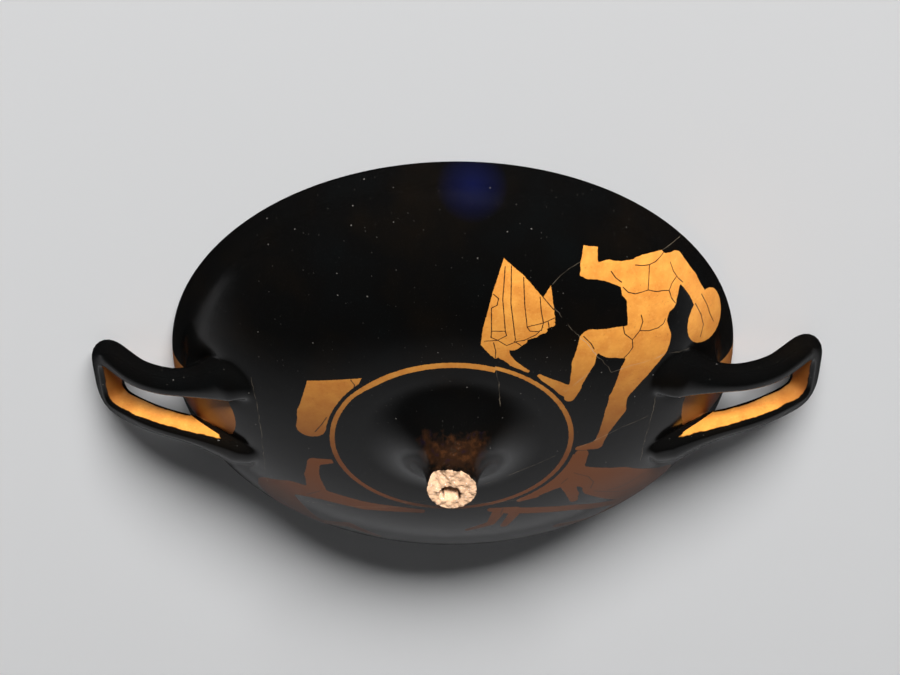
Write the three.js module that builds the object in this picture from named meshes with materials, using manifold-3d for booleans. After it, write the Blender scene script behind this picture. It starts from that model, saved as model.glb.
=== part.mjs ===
// A wide, shallow, stemmed drinking cup of fired clay, lying mouth down on its rim.
// Its foot is lost: the stem ends in a slanting, broken face with a small pit in it.
// The bowl, the stub of the stem and the two loop handles were fired as one piece, so they
// are one solid. Units are millimetres, +Z is up, and the origin is the middle of the rim's
// resting plane. The handles lie along X.

import * as THREE from 'three';
import { mergeVertices } from 'three/addons/utils/BufferGeometryUtils.js';
import Module from 'manifold-3d';

const wasm = await Module();
wasm.setup();

// ---- Bowl: the outer profile is (r / RIM_RADIUS) ^ SHOULDER + (z / BOWL_RISE) ^ TURN = 1
const RIM_RADIUS = 115;
const BOWL_RISE = 43.85;
const SHOULDER = 3.66;
const TURN = 1.75;
const BOWL_RINGS = 15;
const INNER_RINGS = 11;
const OUTER_RIM_ANGLE = 88.6;
const INNER_RIM_ANGLE = 87.5;
const ROUND = 64;

// ---- Wall and lip: the lip is thin and rounded, with a narrow flat that the cup rests on
const LIP_WALL = 3.4;
const FLOOR_WALL = 4.6;
const LIP_FLAT_OUTER = 114;
const LIP_FLAT_INNER = 112.3;
const MOUTH_OVERSHOOT = 3;

// ---- Stem: a quarter ellipse that sweeps from the bowl up into the stem
const STEM_RADIUS = 9.9;
const FLARE_WIDTH = 28;
const STEM_TOP = 68.5;
const STEM_LEAN = 1.2;
const FLARE_RINGS = 9;

// ---- Break: a slanting, slightly uneven face, chipped at one side, with a pit
const BREAK_HEIGHT = 69.2;
const BREAK_SLOPE = 0.21;
const BREAK_RINGS = 3;
const BREAK_ROUGHNESS = 0.45;
const BREAK_WAVES = { x: 1.3, y: 0.9, shiftX: 0.4, shiftY: -0.7 };
const CHIP_DEPTH = 2.4;
const CHIP_REACH = 7;
const CHIP_ANGLE = -0.75;
const PIT_CENTRE = new THREE.Vector3(1.4, 2.3, 69.6);
const PIT_SIZE = new THREE.Vector3(4.1, 3.6, 7);
const PIT_LEAN = 0.35;
const PIT_SIDES = 12;
const PIT_RINGS = 8;

// ---- Handles: each is one bar bent into a loop, round outside and flat inside
const BAR_OUTSIDE = 5.6;
const BAR_INSIDE = 3.6;
const BAR_HALF_HEIGHT = 5.5;
const BAR_FLATNESS = 0.35;
const BAR_EDGE = 0.8;
const BAR_SIDES = 16;
const BAR_STEPS = 44;
const BAR_POINTS = 6;
const ROOT_X = 80;
const SPREAD_POWER = 1.7;
const PINCH = 2.4;
const PINCH_POWER = 1.4;
const DROP_POWER = 3.5;
const FLARE_START_X = 114;
const FLARE_LENGTH = 24;
const FLARE_INSIDE = 0.8;
const FLARE_OUTSIDE = 1.3;
const CORNER_REACH = 3.2;
const CORNER_TURN = 0.78;
const HANDLES = [
  { turn: 0, reach: 141.6, endHalf: 15.2, rootHalf: 22.4, rootZ: 26.6, endZ: 6.8 },
  { turn: Math.PI, reach: 144.7, endHalf: 14.6, rootHalf: 22.8, rootZ: 28, endZ: 8.6 },
];

const FIRED_CLAY = new THREE.MeshStandardMaterial({
  name: 'black_gloss_clay',
  color: 0x16130f,
  roughness: 0.3,
  metalness: 0,
});

// The solid that a closed geometry holds.
function solidOf(geometry) {
  const bare = geometry.clone();
  bare.deleteAttribute('normal');
  bare.deleteAttribute('uv');
  const merged = mergeVertices(bare, 1e-4);
  const vertProperties = new Float32Array(merged.attributes.position.array);
  const triVerts = new Uint32Array(merged.index.array);
  return new wasm.Manifold(new wasm.Mesh({ numProp: 3, vertProperties, triVerts }));
}

// The geometry of a solid.
function geometryOf(solid) {
  const mesh = solid.getMesh();
  const geometry = new THREE.BufferGeometry();
  geometry.setAttribute('position', new THREE.BufferAttribute(mesh.vertProperties, 3));
  geometry.setIndex(new THREE.BufferAttribute(mesh.triVerts, 1));
  return geometry;
}

// Profile points (radius, height) turned about Z.
function turned(profile) {
  const points = profile.map(([r, z]) => new THREE.Vector2(r, z));
  return new THREE.LatheGeometry(points, ROUND).rotateX(Math.PI / 2);
}

// A quarter of the bowl's superellipse from angle `from` to angle `to`; 90 degrees is the rim.
function bowlCurve(radius, rise, from, to, count) {
  const points = [];
  for (let i = 0; i <= count; i += 1) {
    const a = THREE.MathUtils.degToRad(from + ((to - from) * i) / count);
    points.push([radius * Math.sin(a) ** (2 / SHOULDER), rise * Math.cos(a) ** (2 / TURN)]);
  }
  return points;
}

// The angle of the bowl's curve at which it has a given radius, in degrees.
function curveAngle(radius) {
  return THREE.MathUtils.radToDeg(Math.asin((radius / RIM_RADIUS) ** (SHOULDER / 2)));
}

// Height of the broken face above the rim plane.
function breakHeight(x, y) {
  const chipX = STEM_RADIUS * Math.cos(CHIP_ANGLE);
  const chipY = STEM_RADIUS * Math.sin(CHIP_ANGLE);
  const fromChip = Math.hypot(x - chipX, y - chipY);
  const chip = CHIP_DEPTH * Math.max(0, 1 - fromChip / CHIP_REACH);
  const wave = Math.sin(BREAK_WAVES.x * x + BREAK_WAVES.shiftX);
  const crossWave = Math.cos(BREAK_WAVES.y * y + BREAK_WAVES.shiftY);
  return BREAK_HEIGHT + BREAK_SLOPE * y + BREAK_ROUGHNESS * wave * crossWave - chip;
}

// The outside of the bowl and stem, filled in down to the rim plane.
function bowlBody() {
  const flareRadius = STEM_RADIUS + FLARE_WIDTH;
  const topAngle = curveAngle(flareRadius);
  const bowl = bowlCurve(RIM_RADIUS, BOWL_RISE, OUTER_RIM_ANGLE, topAngle, BOWL_RINGS);
  const flareFoot = bowl[bowl.length - 1][1];
  const profile = [[0, 0], [LIP_FLAT_OUTER, 0], ...bowl];
  for (let i = 1; i <= FLARE_RINGS; i += 1) {
    const a = (Math.PI / 2) * (i / (FLARE_RINGS + 1));
    const r = flareRadius - FLARE_WIDTH * Math.sin(a);
    profile.push([r, STEM_TOP - (STEM_TOP - flareFoot) * Math.cos(a)]);
  }
  const firstBreakPoint = profile.length;
  for (let i = BREAK_RINGS; i >= 0; i -= 1) {
    profile.push([(STEM_RADIUS * i) / BREAK_RINGS, BREAK_HEIGHT]);
  }
  const geometry = turned(profile);
  const place = geometry.attributes.position;
  for (let i = 0; i < place.count; i += 1) {
    const up = Math.max(0, place.getZ(i) - flareFoot) / (STEM_TOP - flareFoot);
    if (i % profile.length >= firstBreakPoint) {
      place.setZ(i, breakHeight(place.getX(i), place.getY(i)));
    }
    place.setX(i, place.getX(i) + STEM_LEAN * Math.min(1, up));
  }
  return solidOf(geometry);
}

// The empty inside of the bowl, carried on below the rim plane so that the cut is clean.
function bowlVoid() {
  const radius = RIM_RADIUS - LIP_WALL;
  const inner = bowlCurve(radius, BOWL_RISE - FLOOR_WALL, INNER_RIM_ANGLE, 0, INNER_RINGS);
  const mouth = [
    [0, -MOUTH_OVERSHOOT],
    [LIP_FLAT_INNER, -MOUTH_OVERSHOOT],
    [LIP_FLAT_INNER, 0],
  ];
  return solidOf(turned([...mouth, ...inner]));
}

// The pit in the broken face, an uneven hollow that leans to one side.
function breakPit() {
  const pit = new THREE.SphereGeometry(1, PIT_SIDES, PIT_RINGS);
  pit.scale(PIT_SIZE.x, PIT_SIZE.y, PIT_SIZE.z).rotateX(PIT_LEAN);
  return solidOf(pit.translate(PIT_CENTRE.x, PIT_CENTRE.y, PIT_CENTRE.z));
}

// Height of a handle's centre line at distance x from the axis, and its slope there.
function handleDrop(handle, x) {
  const length = handle.reach - ROOT_X;
  const drop = handle.rootZ - handle.endZ;
  const s = Math.max(0, (x - ROOT_X) / length);
  const slope = (-drop * DROP_POWER * s ** (DROP_POWER - 1)) / length;
  return { height: handle.rootZ - drop * s ** DROP_POWER, slope };
}

// The centre line of a handle: out along one bar, round the end and back along the other.
function handlePath(handle) {
  const bar = [];
  const cornerX = handle.reach - CORNER_REACH;
  for (let i = 0; i < BAR_POINTS; i += 1) {
    const s = i / (BAR_POINTS - 1);
    const x = ROOT_X + (cornerX - ROOT_X) * s;
    const spread = (handle.rootHalf - handle.endHalf) * (1 - s) ** SPREAD_POWER;
    const pinch = PINCH * Math.sin(Math.PI * s ** PINCH_POWER);
    bar.push([x, handle.endHalf + spread - pinch]);
  }
  bar.push([handle.reach - CORNER_REACH * (1 - CORNER_TURN), handle.endHalf * CORNER_TURN]);
  const back = bar.map(([x, y]) => [x, -y]).reverse();
  const plan = [...bar, [handle.reach, 0], ...back];
  const points = plan.map(([x, y]) => new THREE.Vector3(x, y, handleDrop(handle, x).height));
  return new THREE.CatmullRomCurve3(points, false, 'centripetal');
}

// A point of the unit circle moved to the bar's section: x is towards the inside of the loop.
function barSection(x, z) {
  if (x <= 0) {
    return [BAR_OUTSIDE * x, BAR_HALF_HEIGHT * z];
  }
  return [BAR_INSIDE * x ** BAR_FLATNESS, BAR_HALF_HEIGHT * Math.sign(z) * Math.abs(z) ** BAR_EDGE];
}

// One loop handle: a cylinder bent along the path, swelling where it joins the wall.
function handleLoop(handle) {
  const path = handlePath(handle);
  const bar = new THREE.CylinderGeometry(1, 1, 1, BAR_SIDES, BAR_STEPS);
  const place = bar.attributes.position;
  for (let i = 0; i < place.count; i += 1) {
    const t = place.getY(i) + 0.5;
    const centre = path.getPointAt(t);
    const along = path.getTangentAt(t);
    const up = new THREE.Vector3(-handleDrop(handle, centre.x).slope, 0, 1).normalize();
    const inward = new THREE.Vector3().crossVectors(along, up).normalize();
    const nearWall = THREE.MathUtils.clamp((FLARE_START_X - centre.x) / FLARE_LENGTH, 0, 1);
    const [across, above] = barSection(place.getX(i), place.getZ(i));
    const widen = 1 + (across < 0 ? FLARE_OUTSIDE : FLARE_INSIDE) * nearWall ** 2;
    const heighten = 1 + FLARE_INSIDE * nearWall ** 2;
    const spot = centre.addScaledVector(inward, widen * across);
    spot.addScaledVector(up, heighten * above);
    place.setXYZ(i, spot.x, spot.y, spot.z);
  }
  return solidOf(bar.rotateZ(handle.turn));
}

let cup = bowlBody();
for (const handle of HANDLES) {
  cup = cup.add(handleLoop(handle));
}
cup = cup.subtract(bowlVoid()).subtract(breakPit());

const kylix = new THREE.Group();
const body = new THREE.Mesh(geometryOf(cup), FIRED_CLAY);
body.name = 'kylix_cup';
kylix.add(body);

export default kylix;
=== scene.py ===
# %% [markdown]
# # A Greek drinking cup, lying mouth down
#
# A kylix is a wide, shallow wine cup on a stem, with two loop handles. This one has lost its
# foot, so it lies mouth down on its rim and shows the painted outside of the bowl.
# The lesson builds the visible cup as one closed mesh, paints it with shader nodes, and
# lights it. The simulation model is loaded first, as the fixed frame that everything fits.

# %% Load the frame
import math

import bmesh
import bpy
import numpy as np
from mathutils import Matrix, Vector, noise


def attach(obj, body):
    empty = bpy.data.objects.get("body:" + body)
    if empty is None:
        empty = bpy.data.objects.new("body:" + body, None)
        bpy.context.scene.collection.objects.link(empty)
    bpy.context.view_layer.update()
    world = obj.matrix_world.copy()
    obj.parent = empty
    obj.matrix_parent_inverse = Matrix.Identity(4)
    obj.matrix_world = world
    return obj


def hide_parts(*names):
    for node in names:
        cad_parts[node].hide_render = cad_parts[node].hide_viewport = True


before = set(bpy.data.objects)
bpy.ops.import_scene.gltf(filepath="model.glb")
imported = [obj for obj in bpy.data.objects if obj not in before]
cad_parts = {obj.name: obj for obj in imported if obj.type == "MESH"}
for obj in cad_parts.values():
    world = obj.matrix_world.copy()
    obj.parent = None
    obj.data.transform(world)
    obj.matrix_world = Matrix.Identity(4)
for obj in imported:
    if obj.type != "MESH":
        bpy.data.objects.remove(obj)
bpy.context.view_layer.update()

# %% [markdown]
# ## The camera
#
# It looks down at the cup from in front, a little more than half way up, with the top of the
# picture towards the viewer's side of the cup, so the broken stem points down the picture.
# The camera's axes are worked out as three directions and written into one matrix.

# %% Camera
TILT = math.radians(50.6)
ROLL = math.radians(0.8)
CAMERA_DISTANCE = 1.034
AIM_SIDE = 0.0012
AIM_UP = -0.0065
LENS = 100.56
SENSOR = 36.0


def camera_axes():
    """The camera's right, up and back directions."""
    right = Vector((-1, 0, 0))
    up = Vector((0, -math.cos(TILT), -math.sin(TILT)))
    back = Vector((0, -math.sin(TILT), math.cos(TILT)))
    turned_right = math.cos(ROLL) * right - math.sin(ROLL) * up
    turned_up = math.sin(ROLL) * right + math.cos(ROLL) * up
    return turned_right, turned_up, back


def make_camera():
    right, up, back = camera_axes()
    data = bpy.data.cameras.new("camera")
    data.lens = LENS
    data.sensor_width = SENSOR
    data.clip_start = 0.05
    data.clip_end = 50
    camera = bpy.data.objects.new("camera", data)
    place = CAMERA_DISTANCE * back - AIM_SIDE * right - AIM_UP * up
    turn = Matrix((right, up, back)).transposed().to_4x4()
    camera.matrix_world = Matrix.Translation(place) @ turn
    bpy.context.scene.collection.objects.link(camera)
    bpy.context.scene.camera = camera
    return camera


camera = make_camera()
print("camera at", tuple(round(v, 3) for v in camera.location))

# %% [markdown]
# ## The bowl's outline
#
# A potter throws the bowl on a wheel, so its outside and inside are each one curve turned
# about the axis. A superellipse gives the flat middle and the tight turn near the rim with
# two numbers, and a quarter ellipse sweeps up into the stem. All lengths here are in
# millimetres, as in the frame's source, and the mesh is brought to metres at the end.
#
# A point of the outside is known by its arc: the distance walked along the wall from the
# broken edge of the stem towards the rim.

# %% Outline of the wall
RIM_RADIUS = 115.0
BOWL_RISE = 43.85
SHOULDER = 3.66
TURN = 1.75
LIP_WALL = 3.4
FLOOR_WALL = 4.6
STEM_RADIUS = 9.9
FLARE_WIDTH = 28.0
STEM_TOP = 68.5
STEM_LEAN = 1.2
FLARE_RADIUS = STEM_RADIUS + FLARE_WIDTH
RIM_ANGLE = 88.6
INNER_RIM_ANGLE = 87.5
FLARE_SAMPLES = 400
BOWL_SAMPLES = 3000


def bowl_point(radius, rise, degrees):
    """A point (radius, height) of a superellipse; 90 degrees is the rim."""
    a = np.radians(degrees)
    return radius * np.sin(a) ** (2 / SHOULDER), rise * np.cos(a) ** (2 / TURN)


def wall_height(r):
    """Height of the bowl's outside at radius r, without the stem."""
    return BOWL_RISE * np.clip(1 - (r / RIM_RADIUS) ** SHOULDER, 0, None) ** (1 / TURN)


FOOT_HEIGHT = float(wall_height(FLARE_RADIUS))


def outside_curve():
    """A dense outline of the outside, from the stem to the rim, and the arc at each point."""
    sweep = np.radians(np.linspace(90, 0, FLARE_SAMPLES))
    flare_r = FLARE_RADIUS - FLARE_WIDTH * np.sin(sweep)
    flare_z = STEM_TOP - (STEM_TOP - FOOT_HEIGHT) * np.cos(sweep)
    start = math.degrees(math.asin((FLARE_RADIUS / RIM_RADIUS) ** (SHOULDER / 2)))
    turned = np.linspace(start, RIM_ANGLE, BOWL_SAMPLES)[1:]
    bowl_r, bowl_z = bowl_point(RIM_RADIUS, BOWL_RISE, turned)
    r, z = np.append(flare_r, bowl_r), np.append(flare_z, bowl_z)
    steps = np.hypot(np.diff(r), np.diff(z))
    return r, z, np.append(0, np.cumsum(steps)), float(steps[:FLARE_SAMPLES - 1].sum())


curve_r, curve_z, curve_arc, FLARE_ARC = outside_curve()
WALL_ARC = float(curve_arc[-1])
print(f"outside: {WALL_ARC:.1f} mm of wall, of which {FLARE_ARC:.1f} mm is the stem's flare")


def at_arc(arc):
    """Radius and height of the outside at a given arc."""
    return np.interp(arc, curve_arc, curve_r), np.interp(arc, curve_arc, curve_z)


# %% [markdown]
# ## Spinning the cup
#
# The profile runs from the middle of the broken face, over its edge, down the stem and the
# outside of the bowl, round the lip, and up the inside to the middle again. Spinning that
# line once about the axis gives a closed shell with clay between its two skins. Each profile
# vertex carries its own number in a vertex layer, and the spin copies it to the whole ring,
# so later steps can find the rings of the break or of the wall. Two more layers are made
# here, and filled in later with the places of bare and of broken clay.

# %% Profile and spin
ROUND = 256
BREAK_RINGS = 30
FLARE_RINGS = 26
BOWL_RINGS = 46
INNER_RINGS = 40
BREAK_HEIGHT = 69.2
INNER_EASE = 1.3
LIP = [(114.96, 0.30), (114.72, 0.09), (114.3, 0.0), (113.6, 0.0), (112.8, 0.0), (112.2, 0.04),
       (111.8, 0.22), (111.6, 0.6)]


def cup_profile():
    """Points (radius, height) from the broken face round to the middle of the floor."""
    points = [(STEM_RADIUS * i / BREAK_RINGS, BREAK_HEIGHT) for i in range(BREAK_RINGS + 1)]
    flare = np.linspace(0, FLARE_ARC, FLARE_RINGS + 1)[1:]
    bowl = np.linspace(FLARE_ARC, WALL_ARC, BOWL_RINGS + 1)[1:]
    points += list(zip(*at_arc(np.append(flare, bowl))))
    points += LIP
    inner = INNER_RIM_ANGLE * (1 - (np.arange(INNER_RINGS + 1) / INNER_RINGS) ** INNER_EASE)
    points += list(zip(*bowl_point(RIM_RADIUS - LIP_WALL, BOWL_RISE - FLOOR_WALL, inner)))
    points[-1] = (0.0, points[-1][1])
    return points


def spin_cup():
    bm = bmesh.new()
    ring = bm.verts.layers.float.new("ring")
    for name in ("bare", "broken"):
        bm.verts.layers.float.new(name)
    profile = []
    for number, (r, z) in enumerate(cup_profile()):
        vertex = bm.verts.new((r, 0, z))
        vertex[ring] = number
        profile.append(vertex)
    edges = [bm.edges.new(pair) for pair in zip(profile, profile[1:])]
    bmesh.ops.spin(bm, geom=profile + edges, cent=(0, 0, 0), axis=(0, 0, 1), dvec=(0, 0, 0),
                   angle=2 * math.pi, steps=ROUND, use_merge=True, use_duplicate=False)
    bmesh.ops.remove_doubles(bm, verts=bm.verts, dist=1e-4)
    bmesh.ops.recalc_face_normals(bm, faces=bm.faces)
    return bm


cup = spin_cup()
WALL_START = BREAK_RINGS
WALL_END = BREAK_RINGS + FLARE_RINGS + BOWL_RINGS
print("spun cup:", len(cup.verts), "vertices,", len(cup.faces), "faces")

# %% [markdown]
# ## The handles' path
#
# Each handle is one rolled bar, bent into a loop and pressed on while the clay was damp.
# Its centre line is a smooth curve through a few points: out from the wall, round the
# squarish end, and back. The bar is round outside and nearly flat inside, and it swells
# where it meets the wall. These numbers repeat the frame's, so that the two shapes agree.

# %% Handle path and section
BAR_OUTSIDE = 5.6
BAR_INSIDE = 3.6
BAR_HALF_HEIGHT = 5.5
BAR_FLATNESS = 0.35
BAR_EDGE = 0.8
BAR_POINTS = 6
ROOT_X = 80.0
SPREAD_POWER = 1.7
PINCH = 2.4
PINCH_POWER = 1.4
DROP_POWER = 3.5
FLARE_START_X = 114.0
FLARE_LENGTH = 24.0
FLARE_INSIDE = 0.8
FLARE_OUTSIDE = 1.3
CORNER_REACH = 3.2
CORNER_TURN = 0.78
HANDLES = [
    {"name": "left", "side": 1, "reach": 141.6, "end": 15.2, "root": 22.4, "rise": 26.6, "low": 6.8},
    {"name": "right", "side": -1, "reach": 144.7, "end": 14.6, "root": 22.8, "rise": 28.0, "low": 8.6},
]
PATH_SAMPLES = 600
CURVE_STEPS = 60
SECTION_SAMPLES = 4001


def bar_height(handle, x):
    """Height of the centre line at distance x from the axis, and its slope there."""
    length, drop = handle["reach"] - ROOT_X, handle["rise"] - handle["low"]
    s = max(0.0, (x - ROOT_X) / length)
    slope = -drop * DROP_POWER * s ** (DROP_POWER - 1) / length
    return handle["rise"] - drop * s ** DROP_POWER, slope


def catmull_rom(points, count):
    """A dense centripetal Catmull-Rom curve through the points."""
    p = [2 * points[0] - points[1], *points, 2 * points[-1] - points[-2]]
    dense = []
    for a, b, c, d in zip(p, p[1:], p[2:], p[3:]):
        knots = np.cumsum([0] + [np.linalg.norm(v - u) ** 0.5 for u, v in ((a, b), (b, c), (c, d))])
        t0, t1, t2, t3 = knots
        for t in np.linspace(t1, t2, count, endpoint=False):
            ab = a + (b - a) * (t - t0) / (t1 - t0)
            bc = b + (c - b) * (t - t1) / (t2 - t1)
            cd = c + (d - c) * (t - t2) / (t3 - t2)
            abc = ab + (bc - ab) * (t - t0) / (t2 - t0)
            bcd = bc + (cd - bc) * (t - t1) / (t3 - t1)
            dense.append(abc + (bcd - abc) * (t - t1) / (t2 - t1))
    return np.array(dense + [points[-1]])


def handle_path(handle):
    """PATH_SAMPLES points evenly along the centre line, on the +X side."""
    corner_x = handle["reach"] - CORNER_REACH
    bar = []
    for i in range(BAR_POINTS):
        s = i / (BAR_POINTS - 1)
        spread = (handle["root"] - handle["end"]) * (1 - s) ** SPREAD_POWER
        pinch = PINCH * math.sin(math.pi * s ** PINCH_POWER)
        bar.append((ROOT_X + (corner_x - ROOT_X) * s, handle["end"] + spread - pinch))
    bar.append((handle["reach"] - CORNER_REACH * (1 - CORNER_TURN), handle["end"] * CORNER_TURN))
    plan = bar + [(handle["reach"], 0.0)] + [(x, -y) for x, y in reversed(bar)]
    points = [np.array((x, y, bar_height(handle, x)[0])) for x, y in plan]
    dense = catmull_rom(points, CURVE_STEPS)
    steps = np.linalg.norm(np.diff(dense, axis=0), axis=1)
    walked = np.append(0, np.cumsum(steps))
    even = np.linspace(0, walked[-1], PATH_SAMPLES)
    return np.column_stack([np.interp(even, walked, dense[:, k]) for k in range(3)]), walked[-1]


def section_points(count):
    """Points evenly round the bar's D-shaped section: (inwards, up)."""
    a = np.linspace(0, 2 * np.pi, SECTION_SAMPLES)
    x, z = np.cos(a), np.sin(a)
    inwards = np.where(x <= 0, BAR_OUTSIDE * x, BAR_INSIDE * np.abs(x) ** BAR_FLATNESS)
    edge = BAR_HALF_HEIGHT * np.sign(z) * np.abs(z) ** BAR_EDGE
    up = np.where(x <= 0, BAR_HALF_HEIGHT * z, edge)
    walked = np.append(0, np.cumsum(np.hypot(np.diff(inwards), np.diff(up))))
    even = np.linspace(0, walked[-1], count, endpoint=False)
    return np.interp(even, walked, inwards), np.interp(even, walked, up)


def bar_point(handle, path, along, inwards, up):
    """The point of the bar's skin at a share `along` of the path."""
    place = along * (PATH_SAMPLES - 1)
    i = int(min(max(math.floor(place), 1), PATH_SAMPLES - 3))
    centre = path[i] + (path[i + 1] - path[i]) * (place - i)
    forward = path[i + 1] - path[i - 1] + (path[i + 2] - path[i - 1]) * (place - i) * 0.5
    forward = forward / np.linalg.norm(forward)
    slope = bar_height(handle, centre[0])[1]
    upright = np.array((-slope, 0, 1)) / math.hypot(slope, 1)
    inward = np.cross(forward, upright)
    inward = inward / np.linalg.norm(inward)
    near = min(max((FLARE_START_X - centre[0]) / FLARE_LENGTH, 0), 1) ** 2
    widen = 1 + (FLARE_OUTSIDE if inwards < 0 else FLARE_INSIDE) * near
    return centre + inward * inwards * widen + upright * up * (1 + FLARE_INSIDE * near)


paths = {h["name"]: handle_path(h) for h in HANDLES}
print("bar lengths along the centre line:", {n: round(float(p[1]), 1) for n, p in paths.items()})

# %% [markdown]
# ## Where the bars meet the wall
#
# The joint between handle and bowl is smoothed over with wet clay, so there is no edge. Two
# solids simply pushed together would show a hard crease in the gloss. Instead a hole is
# opened in the wall's skin for each root, the bar stops a few millimetres short of it, and
# the two rims are bridged with a curved band that leaves both of them smoothly.
#
# The hole starts as a block of wall faces. Its square outline is eased into an ellipse by
# sliding the wall's vertices along the wall itself, so the surface stays exactly on the bowl.

# %% Root positions
HOLE_ACROSS = 12
HOLE_DOWN = 16
BAR_SIDES = 2 * (HOLE_ACROSS + HOLE_DOWN)
BAR_CLEARANCE = 2.6
HOLE_MARGIN = 2.6
ROOT_SEARCH = (0.02, 0.45)
HALVINGS = 30


def above_wall(point):
    """Distance of a point from the bowl's outside, positive in the open air."""
    r = math.hypot(point[0], point[1])
    u, v = r / RIM_RADIUS, max(point[2], 0.01) / BOWL_RISE
    across, down = SHOULDER * u ** (SHOULDER - 1) / RIM_RADIUS, TURN * v ** (TURN - 1) / BOWL_RISE
    return (u ** SHOULDER + v ** TURN - 1) / math.hypot(across, down)


def leaves_wall(handle, path, inwards, up, clearance):
    """The share of the path at which one line of the bar's skin is that far from the wall."""
    low, high = ROOT_SEARCH
    for _ in range(HALVINGS):
        middle = (low + high) / 2
        if above_wall(bar_point(handle, path, middle, inwards, up)) < clearance:
            low = middle
        else:
            high = middle
    return high


def arc_of(point):
    """The arc of a point on or near the bowl's outside, from how far out and how low it is."""
    outward = math.hypot(point[0], point[1]) - point[2]
    return float(np.interp(outward, curve_r - curve_z, curve_arc))


section_in, section_up = section_points(BAR_SIDES)
roots = []
for handle in HANDLES:
    path = paths[handle["name"]][0]
    starts = [leaves_wall(handle, path, i, u, BAR_CLEARANCE) for i, u in zip(section_in, section_up)]
    touching = [leaves_wall(handle, path, i, u, 0.0) for i, u in zip(section_in, section_up)]
    marks = [bar_point(handle, path, t, i, u) for shares in (touching, starts)
             for t, i, u in zip(shares, section_in, section_up)]
    turns = [math.atan2(p[1], p[0]) for p in marks]
    arcs = [arc_of(p) for p in marks]
    handle["starts"] = starts
    roots.append({
        "handle": handle,
        "turn": (max(turns) + min(turns)) / 2, "half_turn": (max(turns) - min(turns)) / 2,
        "arc": (max(arcs) + min(arcs)) / 2, "half_arc": (max(arcs) - min(arcs)) / 2,
    })
    print(f"{handle['name']} root: {math.degrees(roots[-1]['turn']):.1f} degrees round, "
          f"{roots[-1]['arc']:.1f} mm down the wall")

# %% Open the holes in the wall
RING_STEP = (WALL_ARC - FLARE_ARC) / BOWL_RINGS
SEGMENT = 2 * math.pi / ROUND
EASE_REACH = 1.6


def wrap(angle):
    """An angle brought to between minus and plus half a turn."""
    return (angle + math.pi) % (2 * math.pi) - math.pi


def open_hole(bm, root, mirrored):
    """Eases the wall round one root into an ellipse and removes the faces inside it."""
    ring = bm.verts.layers.float["ring"]
    side = root["handle"]["side"]
    turn = root["turn"] * (-1 if mirrored else 1)
    turn = turn if side > 0 else math.pi + turn
    middle_segment = round(turn / SEGMENT)
    middle_ring = round(WALL_START + FLARE_RINGS + (root["arc"] - FLARE_ARC) / RING_STEP)
    radius = float(at_arc(root["arc"])[0])
    half_turn = root["half_turn"] + HOLE_MARGIN / radius
    half_arc = root["half_arc"] + HOLE_MARGIN
    moves, inside = [], set()
    for vertex in bm.verts:
        if not WALL_START < vertex[ring] < WALL_END + 0.5:
            continue
        a = wrap(math.atan2(vertex.co.y, vertex.co.x) - middle_segment * SEGMENT)
        across = a / SEGMENT / (HOLE_ACROSS / 2)
        down = (vertex[ring] - middle_ring) / (HOLE_DOWN / 2)
        size = max(abs(across), abs(down))
        if size > EASE_REACH:
            continue
        if size < 0.999:
            inside.add(vertex)
            continue
        weight = (EASE_REACH - size) / (EASE_REACH - 1)
        weight = weight * weight * (3 - 2 * weight)
        u, v = across / size, down / size
        oval = (u * math.sqrt(1 - v * v / 2), v * math.sqrt(1 - u * u / 2))
        new_turn = turn + oval[0] * half_turn * size
        new_arc = root["arc"] + oval[1] * half_arc * size
        old_turn = middle_segment * SEGMENT + a
        old_arc = FLARE_ARC + (vertex[ring] - WALL_START - FLARE_RINGS) * RING_STEP
        moves.append((vertex, old_turn + weight * wrap(new_turn - old_turn),
                      old_arc + weight * (new_arc - old_arc)))
    for vertex, new_turn, new_arc in moves:
        r, z = at_arc(min(new_arc, WALL_ARC))
        vertex.co = (r * math.cos(new_turn), r * math.sin(new_turn), z)
    gone = [f for f in bm.faces if any(v in inside for v in f.verts)]
    border = {e for f in gone for e in f.edges}
    bmesh.ops.delete(bm, geom=gone, context="FACES")
    return [e for e in border if e.is_valid and e.is_boundary]


holes = {}
for root in roots:
    for mirrored in (False, True):
        key = (root["handle"]["name"], mirrored)
        holes[key] = open_hole(cup, root, mirrored)
        print("hole", key, "has", len(holes[key]), "edges")

# %% [markdown]
# ## Where the clay stays bare
#
# The painter left two kinds of place uncovered by gloss between the handles: the inner faces
# of the loops, and a panel of the wall behind each of them. How far a place lies inside such
# a bare area, in millimetres, is stored on the vertices as the layer `bare`, negative under
# the gloss. It is set before the bars are joined, so the joining bands blend between the
# wall's values and the bar's, as the brush did.

# %% Bare panels on the wall
PANEL_EDGE = {1: (89.4, 0.020), -1: (93.9, 0.0135)}
PANEL_HALF_WIDTH = 19.0
PANEL_NARROWING = 0.25
PANEL_FROM = 95.0
COVERED = -20.0
STEM_EDGE_ON_MAP = 1.9
FLARE_SQUEEZE = (FLARE_RADIUS - STEM_EDGE_ON_MAP) / FLARE_ARC


def map_radius(arc):
    """The flat map's radius for an arc: true along the bowl, squeezed inside the stem's flare."""
    past = arc - FLARE_ARC
    return FLARE_RADIUS + np.where(past > 0, past, past * FLARE_SQUEEZE)


def panel_depth(x, y, arc):
    """How far a place of the wall lies inside the bare panel on its side."""
    radius = float(map_radius(arc)) / max(math.hypot(x, y), 1e-6)
    across, along = abs(x) * radius, abs(y) * radius
    edge, curve = PANEL_EDGE[1 if x > 0 else -1]
    half_width = PANEL_HALF_WIDTH - PANEL_NARROWING * (across - PANEL_FROM)
    return min(across - edge - curve * along * along, half_width - along)


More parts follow.
